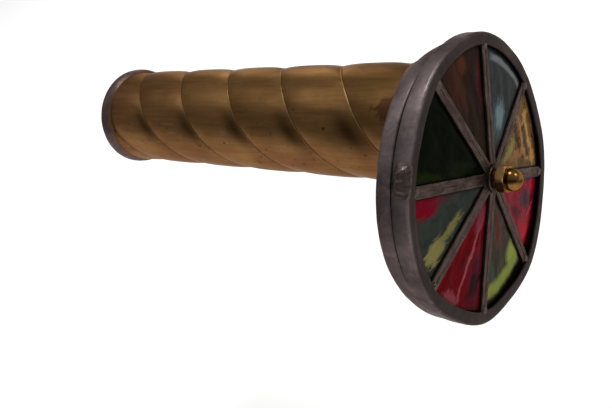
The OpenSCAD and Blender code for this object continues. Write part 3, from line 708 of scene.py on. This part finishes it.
def makeTube():
    sizes = tubeSizes
    mesh = grown(makeTubeTree(), bpy.data.meshes.new("tubeBase"), {
        "Length": sizes["length"], "Radius": sizes["radius"], "Starts": float(sizes["starts"]),
        "Lead": sizes["lead"], "Depth": sizes["depth"], "First crease": sizes["firstCrease"],
        "Flatness": sizes["flatness"], "Ridge": sizes["ridge"], "Ridge at": sizes["ridgeAt"],
        "Ridge width": sizes["ridgeWidth"], "Rows": sizes["rows"], "Around": sizes["around"],
        "Material": agedBrassTube})
    lineTube(mesh)
    tube = finishPiece("creasedTube", mesh, agedBrassTube, 50)
    paintTube(tube.data)
    return settle(tube, "body", "tube_brass", "tube")


makeTube()
print("tube made")


# Lead bands round the tube

bandSizes = {"inner": 19.07, "middle": 19.6, "round": 180, "spacing": 0.7, "lumpSize": 7, "seed": 2.0,
             "wearAndHighlight": 0.75, "wearAndHighlightAt": 0.2, "wearAndHighlightWide": 0.6, "thinFrom": 0.62,
             "eyepiece": {"startX": 0.6, "width": 5.6, "thick": 1.25, "corner": 0.6, "runout": 0.22,
                          "lump": 0.3},
             "front": {"width": 2.0, "thick": 0.6, "corner": 0.3, "lipOut": 0.5, "lipIn": 2.3, "lump": 0.2}}


def eyepieceStrip():  # thick at its outer end, running out over the tube: (outwards, along)
    sizes = bandSizes["eyepiece"]
    thick, soft, low, end = sizes["thick"], sizes["corner"], sizes["runout"], sizes["width"]
    slope = [(thick, 1.7), (thick - 0.08, 2.6), (thick - 0.32, 3.5), (low + 0.2, 4.3), (low, 4.7)]
    under = [(-0.35, end - 0.4), (-0.85, end - 0.1), (-0.9, 4.6), (0.0, 4.4)]
    return [(0.0, 0.0)] + arc(thick - soft, soft, soft, -90, 0, 6) + slope + under


def frontStrip():  # round corners, and a lip that turns in over the tube's end
    sizes = bandSizes["front"]
    soft, end, lipEnd = sizes["corner"], sizes["width"] + sizes["lipOut"], sizes["width"] + 0.02
    out = sizes["thick"] - soft
    corners = arc(out, soft, soft, -90, 0, 5) + arc(out, end - soft, soft, 0, 90, 5)
    return [(0.0, 0.0)] + corners + [(-sizes["lipIn"], end), (-sizes["lipIn"], lipEnd), (0.0, lipEnd)]


def makeBand(name, startX, strip, node, lump):
    sizes = bandSizes
    ring = [onCircle(sizes["inner"] * mm, 360 * i / sizes["round"]) for i in range(sizes["round"])]
    mesh = cameStrip(name, strip, ring, True, {**sizes, "lump": lump}, sizes["seed"], leadBand)
    mesh.transform(toRow(startX, 0))
    band = finishPiece(name, mesh, leadBand, 60)
    co = pointsOf(band.data)
    along = np.arctan2(co[:, 2], co[:, 1]) * sizes["middle"] * mm
    edge = co[:, 0] - co[:, 0].min()
    paint(band.data, "strip", np.stack([along, co[:, 0], 0 * along], 1))
    paint(band.data, "wearAndHighlight", sizes["wearAndHighlight"] * bell(edge, sizes["wearAndHighlightAt"] * mm, sizes["wearAndHighlightWide"] * mm))
    paint(band.data, "thin", ramp(edge / edge.max(), sizes["thinFrom"], 1 - sizes["thinFrom"]))
    return settle(band, "body", "lead_came", node)


eyepiece, frontBand = bandSizes["eyepiece"], bandSizes["front"]
makeBand("eyepieceBand", eyepiece["startX"] * mm, eyepieceStrip(), "eyepiece_band", eyepiece["lump"])
frontStart = tubeSizes["length"] - frontBand["width"] * mm
makeBand("frontBand", frontStart, frontStrip(), "front_band", frontBand["lump"])
print("bands made")


# The wheels' rims

rimSizes = {"radius": 45.85, "thick": 4.7, "face": 4.1, "channelDeep": 2.4, "channelWide": 2.9, "dish": 3.15,
            "corner": 0.75, "innerCorner": 0.45, "tightCorner": {1: 0.4, -1: 0.16}, "tighten": 0.22,
            "flare": 0.62, "points": 240, "spacing": 0.9, "lump": 0.36, "lumpSize": 9}
# These place the painted shade on the faces and at the seam, and the painted highlights on the edges.
rimMarks = {"strip": 45, "outside": 1.2, "tightBand": 0.6, "faceFrom": 0.3, "tightFaceFrom": 1.3,
            "faceFade": 0.4, "highlightSideAt": 118, "highlightSideWide": 26, "shoulderAt": -0.5, "shoulderWide": 0.34,
            "rearEdgeAt": -4.5, "rearEdgeWide": 0.2, "rearEdge": 0.6, "wearAndHighlight": 0.75, "seamFrom": 50,
            "seamTo": 128, "seamFade": 10}


def waveRadius(wheel, degrees):
    bend = sum(h * math.cos(math.radians(k * (degrees - crest))) for k, h, crest in wheel["waves"])
    return (rimSizes["radius"] + bend) * mm


def bothHalves(upper, lower):  # one closed outline from the half in front and the half behind
    return upper + [(u, -z) for u, z in lower[::-1]]


def rimProfile(tight):  # (outwards from the rim's edge, forwards from the front face)
    sizes = rimSizes
    face, inner, groove, halves = sizes["face"], sizes["innerCorner"], sizes["channelWide"] / 2, []
    for side in (1, -1):
        soft = sizes["tightCorner"][side] if side == tight else sizes["corner"]
        half = sizes["thick"] / 2 + (sizes["tighten"] if side == tight else 0)  # the wheels all but touch
        outline = arc(-soft, half - soft, soft, 0, 90, 7) + [(-1.6, half + 0.02), (-2.6, half)]
        outline += arc(-face + inner, half - inner, inner, 90, 180, 4)
        outline += [(-face + 0.12, groove), (-face + sizes["channelDeep"], groove)]
        halves.append(outline)
    return [(u, z - sizes["thick"] / 2) for u, z in bothHalves(*halves)]


def flare(wheel, degrees, forwards):  # the front rim is bent out at the back, towards the rear one
    step = waveRadius(rear, degrees) - waveRadius(front, degrees) if wheel["tight"] == -1 else 0
    return rimSizes["flare"] * max(0, step) * max(0, min(1, -forwards / (rimSizes["thick"] * mm)))


def bendRim(wheel, mesh):  # pressed flat on the side of the other wheel, and the front rim flared
    sizes, co = rimSizes, pointsOf(mesh)
    if wheel["tight"] == 1:
        co[:, 2] = np.minimum(co[:, 2], sizes["tighten"] * mm)
    else:
        co[:, 2] = np.maximum(co[:, 2], -(sizes["tighten"] + sizes["thick"]) * mm)
        for spot in co:
            degrees, r = math.degrees(math.atan2(spot[1], spot[0])), math.hypot(spot[0], spot[1])
            near = max(0, min(1, (r - waveRadius(wheel, degrees) + 2.2 * mm) / (1.4 * mm)))
            spot[:2] *= 1 + flare(wheel, degrees, spot[2]) * near / r
    movePoints(mesh, co)


def paintRim(wheel, mesh):  # painted shade on the flat faces and at the seam, painted highlights on the edges, most on the upper left
    marks, co = rimMarks, pointsOf(mesh)
    degrees = np.degrees(np.arctan2(co[:, 2] + axleDrop, co[:, 1]))
    outwards = (np.hypot(co[:, 1], co[:, 2] + axleDrop) - [waveRadius(wheel, d) for d in degrees]) / mm
    forwards = (co[:, 0] - wheel["faceX"]) / mm
    outside = outwards > -marks["outside"]
    fromJoint = np.radians((degrees - wheel["joint"]) % 360) * marks["strip"] * mm
    nearFront, nearBack = forwards > -marks["tightBand"], forwards < marks["tightBand"] - rimSizes["thick"]
    tightSide = nearFront if wheel["tight"] == 1 else nearBack
    face = ramp(-outwards, np.where(tightSide, marks["tightFaceFrom"], marks["faceFrom"]), marks["faceFade"])
    # painted highlight, strongest on the upper left where the light falls
    highlightSide = 0.2 + 0.8 * bell(degrees, marks["highlightSideAt"], marks["highlightSideWide"])
    shoulder = bell(forwards, marks["shoulderAt"], marks["shoulderWide"]) * outside * highlightSide
    rearEdge = bell(forwards, marks["rearEdgeAt"], marks["rearEdgeWide"]) * outside
    # painted shade at the seam between the rims, on both rims
    if wheel["tight"] == -1:
        seam = ramp(-forwards, rimSizes["thick"], 0.08)
    else:  # painted shade where the front rim stands over the rear one
        over = np.array([waveRadius(front, d) - waveRadius(rear, d) for d in degrees]) / mm
        seam = ramp(forwards + 1.1 * np.clip(over, 0, 1.5), -0.5, 0.3) * ramp(over, 0, 0.2)
        seam *= ramp(degrees, marks["seamFrom"], marks["seamFade"])
        seam *= ramp(-degrees, -marks["seamTo"], marks["seamFade"])
    # painted highlights on the shoulder, the back edge and the outer side, partly rubbed
    wearAndHighlight = shoulder + marks["rearEdge"] * rearEdge + 0.3 * highlightSide * (outwards > -0.6)
    paint(mesh, "strip", np.stack([fromJoint, outwards * mm, forwards * mm], 1))
    # painted shade: the flat faces, and the seam on the outer side
    paint(mesh, "face", np.maximum(face, seam * outside))
    paint(mesh, "wearAndHighlight", marks["wearAndHighlight"] * np.clip(wearAndHighlight, 0, 1))


def makeRim(wheel, name):
    turns = [360 * i / rimSizes["points"] for i in range(rimSizes["points"])]
    ring = [onCircle(waveRadius(wheel, degrees), degrees) for degrees in turns]
    mesh = cameStrip(name, rimProfile(wheel["tight"]), ring, True, rimSizes, wheel["seed"], leadCame)
    bendRim(wheel, mesh)
    mesh.transform(toRow(wheel["faceX"]))
    rim = finishPiece(name, mesh, leadCame, 62)
    paintRim(wheel, rim.data)
    return settle(rim, wheel["body"], "lead_came", wheel["body"] + "_rim")


# The wheels' spokes

spokeSizes = {"gap": 0.1, "leaf": 0.7, "wide": 3.7, "bevel": 0.2, "hubRadius": 4.4, "points": 60,
              "spacing": 0.5, "lump": 0.26, "lumpSize": 4, "slitDeep": 0.45, "slitWide": 0.32,
              "slitFrom": 0.22, "slitTo": 0.75, "slitFilled": 0.06}


def slopeAngle():  # the spokes lean back from the hub to the rim
    return math.atan(rimSizes["dish"] / (rimSizes["radius"] - rimSizes["face"] / 2))


def hubCentre():
    return np.array((0, 0, (rimSizes["dish"] - rimSizes["thick"] / 2) * mm))


def spokeTop():  # from a spoke's middle to its top, in millimetres
    return paneSizes["thick"] / 2 + spokeSizes["gap"] + spokeSizes["leaf"]


def spokeProfile():  # a flat strip with narrow bevels and a slit along its middle
    sizes = spokeSizes
    top, low = spokeTop(), paneSizes["thick"] / 2 + sizes["gap"]
    side, soft = sizes["wide"] / 2, sizes["bevel"]
    half = [(0.4, low), (side, low)] + arc(side - soft, top - soft, soft, 0, 90, 3)
    half += [(1.2, top + 0.04), (0.7, top + 0.05), (0.17, top), (0.11, top - sizes["slitDeep"])]
    half += [(-u, z) for u, z in half[::-1]]
    return bothHalves(half, half)


def spokeEnd(wheel, degrees):  # how far along its slope a spoke meets the rim
    return (waveRadius(wheel, degrees) - rimSizes["face"] * mm) / math.cos(slopeAngle()) + 0.1 * mm


def spokeFrame(degrees):  # along the spoke, across it and up from it
    a, slope = math.radians(degrees), slopeAngle()
    flat, lean = math.cos(slope), math.sin(slope)
    return np.array([(flat * math.cos(a), flat * math.sin(a), -lean), (-math.sin(a), math.cos(a), 0),
                     (lean * math.cos(a), lean * math.sin(a), flat)])


def fillSlit(local, n, seed):  # solder closes most of the slit, so that it opens only here and there
    sizes, top = spokeSizes, spokeTop() * mm
    lowest, highest = top - sizes["slitTo"] * mm, top - sizes["slitFrom"] * mm
    for spot in local:
        if abs(spot[1]) < sizes["slitWide"] * mm and lowest < abs(spot[2]) < highest:
            gap = noise.noise(Vector((spot[0] * 110, n * 3.1, seed)))
            deep = sizes["slitDeep"] * mm * max(0, min(1, (gap - 0.05) * 5))
            spot[2] = math.copysign(top - sizes["slitFilled"] * mm - deep, spot[2])


def makeSpokes(wheel, name):
    sizes = spokeSizes
    for n, degrees in enumerate(wheel["spokes"], 1):
        axes, hub = spokeFrame(degrees), hubCentre()
        steps = np.linspace((sizes["hubRadius"] - 0.1) * mm, spokeEnd(wheel, degrees), sizes["points"] + 1)
        line = [hub + r * axes[0] for r in steps]
        mesh = cameStrip(name, spokeProfile(), line, False, sizes, wheel["seed"] + n, solderCame)
        local = (pointsOf(mesh) - hub) @ axes.T
        fillSlit(local, n, wheel["seed"])
        movePoints(mesh, local @ axes + hub)
        mesh.transform(toRow(wheel["faceX"]))
        spoke = finishPiece(f"{name}{n}", mesh, solderCame, 40)
        x, y, z = pointsOf(spoke.data).T
        local = (np.stack([y, z + axleDrop, x - wheel["faceX"]], 1) - hub) @ axes.T
        paint(spoke.data, "strip", local + np.array((0.1 * n, 0, 0)))
        settle(spoke, wheel["body"], "solder", f"{wheel['body']}_spoke_{n}")


# Solder drops at the spokes' ends and over the joint in each rim

dropSizes = {"radius": 1.55, "inwards": 0.35, "lump": 0.5, "lumpSize": 2, "markScale": (9, 1.5, 1.5)}
jointSizes = {"long": 10.5, "thick": 1.35, "sunk": 0.25, "rows": 60, "thinned": 0.3}


def jointPatch(wheel):  # lumpy solder over the joint in the rim, wrapped round its outer edge
    sizes, rim = jointSizes, rimSizes
    half, soft, middle = rim["thick"] / 2, rim["corner"], wheel["joint"]
    outline = [(-2.6, half), (-1.9, half), (-1.3, half)] + arc(-soft, half - soft, soft, 90, 0, 6)
    outline += [(0, z) for z in (1.1, 0.5, -0.1, -0.7, -1.2)]
    outline += arc(-soft, soft - half, soft, 0, -90, 4) + [(-1.3, -half)]
    halfTurn = math.degrees(sizes["long"] * mm / 2 / waveRadius(wheel, middle))
    verts = []
    for layer in (1, 0):
        for i in range(sizes["rows"] + 1):
            t = 2 * i / sizes["rows"] - 1
            a, fade = middle + halfTurn * t, 1 - abs(t) ** 2.6
            for k, (u, z) in enumerate(outline):
                r = waveRadius(wheel, a) + flare(wheel, a, (z - half) * mm)
                edge = 1 - abs(2 * k / (len(outline) - 1) - 1) ** 3
                lump = 0.9 + 0.55 * noise.noise(Vector((a * 0.28, k * 0.22, wheel["seed"] + 4)))
                lump += 0.25 * noise.noise(Vector((a * 0.7, k * 0.5, 5)))
                beside = z * wheel["tight"] > half - soft - 0.2  # next to the other wheel
                facing = sizes["thinned"] if beside else 1.0
                grow = layer * sizes["thick"] * fade * edge * lump * facing - sizes["sunk"]
                out = Vector((u + soft if u > -soft else 0, z)).normalized()
                forwards = (z - half + grow * out.y * (1 if layer else 0.6)) * mm
                verts.append(onCircle(r + (u + grow * max(out.x, 0.15)) * mm, a, forwards))
    return plainMesh("jointPatch", verts, shellFaces(sizes["rows"] + 1, len(outline)))


def makeSolder(wheel, name):
    sizes = dropSizes
    dots = [hubCentre() + (spokeEnd(wheel, degrees) - sizes["inwards"] * mm) * spokeFrame(degrees)[0]
            + np.array((0, 0, spokeTop() * mm)) for degrees in wheel["spokes"]]
    mesh = grown(dropTree, plainMesh(name, dots), {
        "Drop size": sizes["radius"] * mm, "Lump height": sizes["lump"] * mm,
        "Lump size": sizes["lumpSize"] * mm, "Seed": wheel["seed"], "Material": solderDrop})
    bm = bmesh.new()
    bm.from_mesh(mesh)
    bm.from_mesh(jointPatch(wheel))  # one piece with the drops
    bm.to_mesh(mesh)
    bm.free()
    mesh.transform(toRow(wheel["faceX"]))
    drops = finishPiece(name, mesh, solderDrop)
    paint(drops.data, "strip", pointsOf(drops.data) * np.array(sizes["markScale"]))
    return settle(drops, wheel["body"], "solder", wheel["body"] + "_solder")


# The panes

paneSizes = {"thick": 1.8, "wave": 0.22, "inner": 5.7, "side": 0.55, "inChannel": 0.8, "rows": 34,
             "columns": 26}


def paneAngles(wheel, n):  # the pane's middle, and half the angle between the spokes beside it
    spokes = wheel["spokes"]
    first, second = spokes[n - 1], spokes[n] if n < 8 else spokes[0] - 360
    return (first + second) / 2, (first - second) / 2


def paneWave(u, v, t, across, seed, n):  # hand-made glass is wavy, and calm where the came holds it
    wave = noise.noise(Vector((u * 0.16, v * 0.28, n + seed)))
    wave += 0.4 * noise.noise(Vector((u * 0.5, v * 0.8, n + 9)))
    return paneSizes["wave"] * wave * min(1, 3 * t, 3 * (1 - abs(across)) + 0.1, 6 * (1 - t) + 0.05)


def makePane(wheel, n, material, name):
    sizes, rim = paneSizes, rimSizes
    centre, half = paneAngles(wheel, n)
    held = rim["face"] - sizes["inChannel"] * rim["channelDeep"]  # from the rim's edge to the pane's
    slope = math.tan(slopeAngle()) / math.cos(math.radians(half))
    place = toRow(wheel["faceX"]) @ Matrix.Rotation(math.radians(centre), 4, "Z")
    verts, maps = [], []
    for layer in (1, -1):
        for i in range(sizes["rows"] + 1):
            for k in range(sizes["columns"] + 1):
                t, across = i / sizes["rows"], 1 - 2 * k / sizes["columns"]
                end = waveRadius(wheel, centre + across * half) / mm - held
                r = sizes["inner"] + (end - sizes["inner"]) * t
                a = math.radians(across * (half - math.degrees(math.asin(sizes["side"] / r))))
                u, v = r * math.cos(a), r * math.sin(a)
                wave = paneWave(u, v, t, across, wheel["seed"], n) * (1 if layer == 1 else 0.5)
                z = layer * (sizes["thick"] / 2 - 0.01) + wave - 0.04 - u * slope
                verts.append(place @ Vector((u * mm, v * mm, hubCentre()[2] + z * mm)))
                maps.append((u / 10, v / 10))
    mesh = plainMesh(name, verts, shellFaces(sizes["rows"] + 1, sizes["columns"] + 1))
    paneMap = mesh.uv_layers.new(name="paneMap")
    for loop in mesh.loops:
        paneMap.data[loop.index].uv = maps[loop.vertex_index]
    slot = f"{wheel['body'].split('_')[0]}_glass_{n}"
    pane = finishPiece(name, mesh, material, 40)
    return settle(pane, wheel["body"], slot, f"{wheel['body']}_glass_{n}")


for wheel, word, panes in ((front, "front", frontPanes), (rear, "rear", rearPanes)):
    makeRim(wheel, word + "Rim")
    makeSpokes(wheel, word + "Spoke")
    makeSolder(wheel, word + "Solder")
    for n, pane in enumerate(panes, 1):
        glass = artGlass(f"{word}Glass{n}", pane, n * 2.3 + wheel["seed"], paneAngles(wheel, n)[1])
        makePane(wheel, n, glass, f"{word}Pane{n}")
    print(word, "wheel made")


# The acorn nut

# The last two set the painted dark reflection: its direction across the dome and how dark it is.
nutSizes = {"baseX": 164.75, "flats": 7.94, "hexHigh": 2.8, "chamfer": 0.3, "dome": 3.5, "domeAt": 3.65,
            "turn": 17.0, "bore": 2.07, "boreDeep": 5.0, "around": 144, "domeRings": 24,
            "reflectionBandAcross": (-0.011, 0.657, 0.753), "dark": 0.85}


def nutRings():  # (height, furthest out) from the end of the bore round to the top of the dome
    sizes = nutSizes
    high, dome, steps = sizes["hexHigh"], sizes["dome"], sizes["domeRings"]
    flat, chamfer = sizes["flats"] / 2, sizes["chamfer"]
    bevel = [(chamfer * i / 5, flat + chamfer * 1.8 * i / 5) for i in range(6)]
    rings = [(sizes["boreDeep"], sizes["bore"]), (0.0, sizes["bore"]), (0.0, flat - 0.1)] + bevel
    rings += [(high * i / 8, sizes["flats"]) for i in range(2, 7)]
    rings += [(high - z, most) for z, most in bevel[::-1]]
    neck = math.asin((high - sizes["domeAt"]) / dome)
    rings += [(high, dome * math.cos(neck) + 0.12), (high + 0.05, dome * math.cos(neck) + 0.02)]
    for i in range(1, steps + 1):
        a = neck + (math.pi / 2 - neck) * i / steps
        rings.append((sizes["domeAt"] + dome * math.sin(a), max(dome * math.cos(a), 0.001)))
    return rings


def makeNut():
    sizes, rings, count = nutSizes, nutRings(), nutSizes["around"]
    verts, faces = [], [tuple(range(count))]
    for z, most in rings:
        for i in range(count):
            a = 2 * math.pi * i / count
            fromFlat = (math.degrees(a) + 30) % 60 - 30
            hexagon = sizes["flats"] / 2 / math.cos(math.radians(fromFlat))
            r = min(hexagon, most) if z <= sizes["hexHigh"] and most > sizes["dome"] + 0.2 else most
            turned = a + math.radians(sizes["turn"] + 30)
            sideways, upwards = r * math.cos(turned) * mm, r * math.sin(turned) * mm - axleDrop
            verts.append(((sizes["baseX"] + z) * mm, sideways, upwards))
    for j in range(len(rings) - 1):
        for i in range(count):
            a, c = j * count + i, j * count + (i + 1) % count
            faces.append((a, c, c + count, a + count))
    nut = finishPiece("acornNut", plainMesh("acornNut", verts, faces), nutBrass, 24)
    off = pointsOf(nut.data) - np.array(((sizes["baseX"] + sizes["domeAt"]) * mm, 0, -axleDrop))
    # painted dark reflection in a band across the dome, and painted shade on the hex's lower facets
    facing = off @ np.array(sizes["reflectionBandAcross"]) / (sizes["dome"] * mm)
    dome = ramp(off[:, 0] / mm + sizes["domeAt"] - sizes["hexHigh"], -0.05, 0.05)
    hexShade = (1 - dome) * np.clip(0.1 - 3 * facing, 0, 1)
    paint(nut.data, "matt", 1 - dome)
    paint(nut.data, "reflectionAndShade", sizes["dark"] * (dome * bell(facing, -0.08, 0.2) + hexShade))
    return settle(nut, "body", "bright_brass", "acorn_nut")


makeNut()
print("nut made")


# CAD pieces that keep their shape get their finishes

plainFinishes = {
    "eyepiece_disc": agedBrassPlain, "eye_lens": lensGlass, "object_window": lensGlass,
    "mirror_base": silverMirror, "mirror_left": silverMirror, "mirror_right": silverMirror,
    "mirror_spacer_rear": foam, "mirror_spacer_front": foam,
    "axle_sleeve": agedBrassPlain, "sleeve_solder": solderCame, "axle_bolt": nutBrass,
    "rear_washer": agedBrassPlain, "middle_washer": agedBrassPlain, "front_spacer": agedBrassPlain,
    "rear_wheel_hub": solderCame, "front_wheel_hub": solderCame, "rear_wheel_bush": agedBrassPlain,
    "front_wheel_bush": agedBrassPlain,
}
for name, material in plainFinishes.items():
    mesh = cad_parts[name].data
    mesh.materials.clear()
    mesh.materials.append(material)
print("CAD pieces finished")


# Camera, as the photograph sees it

view = {"lens": 40.32, "sensor": 36, "at": (257.59 * mm, -134.78 * mm, 124.39 * mm), "yaw": -0.850,
        "pitch": -0.531, "roll": -0.509, "shiftX": -0.0119, "shiftY": -0.1536}


def viewAxes():
    yaw, pitch, roll = view["yaw"], view["pitch"], view["roll"]
    forward = Vector((math.cos(pitch) * math.sin(yaw), math.cos(pitch) * math.cos(yaw), math.sin(pitch)))
    flat = Vector((math.cos(yaw), -math.sin(yaw), 0))
    upright = flat.cross(forward)
    right = math.cos(roll) * flat + math.sin(roll) * upright
    up = -math.sin(roll) * flat + math.cos(roll) * upright
    return right, up, forward


def makeCamera():
    right, up, forward = viewAxes()
    data = bpy.data.cameras.new("photoCamera")
    data.lens = view["lens"]
    data.sensor_width = view["sensor"]
    data.shift_x = view["shiftX"]
    data.shift_y = view["shiftY"]
    data.clip_start = 0.01
    camera = link(bpy.data.objects.new("photoCamera", data))
    turn = Matrix((right, up, -forward)).transposed().to_4x4()
    camera.matrix_world = Matrix.Translation(Vector(view["at"])) @ turn
    bpy.context.scene.camera = camera


makeCamera()
print("camera placed")


# Floor, lamps and world

studio = {"floorZ": -150 * mm, "floorWide": 8.0, "world": 0.28, "floorGlow": 0.6,
          "lampsAimAt": (0.09, 0, -0.01)}
lamps = [  # name, towards (right, up, back) as the camera sees it, distance, size, strength in watts
    ("topLamp", (-0.24, 0.93, 0.22), 1.1, 0.32, 3.6),
    ("backLamp", (-0.23, 0.68, -0.70), 1.2, 0.4, 0.9),
    ("sideLamp", (0.53, 0.73, 0.445), 1.3, 0.3, 2.6),
    ("glowLamp", (-0.77, 0.62, 0.14), 1.2, 0.7, 1.1),
]


def makeFloor():  # it glows where it is seen, straight or in metal and glass, and lights the object plainly
    made = bpy.data.materials.new("paleFloor")
    tree = blankTree(made)
    rays = add(tree, "ShaderNodeLightPath").outputs
    seen = calc(tree, "MAXIMUM", rays["Is Camera Ray"], rays["Is Glossy Ray"])
    seen = calc(tree, "MAXIMUM", seen, rays["Is Transmission Ray"])
    shade = coated(tree, tone(232, 232, 232), (noiseOf(tree, placeOf(tree), 3, 2), tone(240, 240, 240)))
    plain = add(tree, "ShaderNodeBsdfDiffuse", {"Color": shade})
    glow = add(tree, "ShaderNodeEmission", {"Color": (1, 1, 1, 1), "Strength": studio["floorGlow"]})
    both = add(tree, "ShaderNodeAddShader", {0: plain.outputs[0], 1: glow.outputs[0]})
    mixed = add(tree, "ShaderNodeMixShader", {0: seen, 1: plain.outputs[0], 2: both.outputs[0]})
    tree.links.new(mixed.outputs[0], add(tree, "ShaderNodeOutputMaterial").inputs[0])
    w, z = studio["floorWide"] / 2, studio["floorZ"]
    square = plainMesh("floor", [(-w, -w, z), (w, -w, z), (w, w, z), (-w, w, z)], [(0, 1, 2, 3)])
    floor = finishPiece("floor", square, made, smooth=False)


def makeLamps():
    right, up, forward = viewAxes()
    for name, (a, b, c), far, size, watts in lamps:
        towards = (a * right + b * up - c * forward).normalized()
        data = bpy.data.lights.new(name, "AREA")
        data.energy = watts
        data.size = size
        data.shape = "DISK"
        lamp = link(bpy.data.objects.new(name, data))
        spot = Vector(studio["lampsAimAt"]) + towards * far
        lamp.matrix_world = Matrix.Translation(spot) @ towards.to_track_quat("Z", "Y").to_matrix().to_4x4()


def makeWorld():
    world = bpy.data.worlds.new("softRoom")
    bpy.context.scene.world = world
    tree = blankTree(world)
    level = add(tree, "ShaderNodeBackground", {"Color": (1, 1, 1, 1), "Strength": studio["world"]})
    tree.links.new(level.outputs[0], add(tree, "ShaderNodeOutputWorld").inputs[0])


makeFloor()
makeLamps()
makeWorld()
bpy.context.scene.view_settings.view_transform = "Standard"
print("studio made")
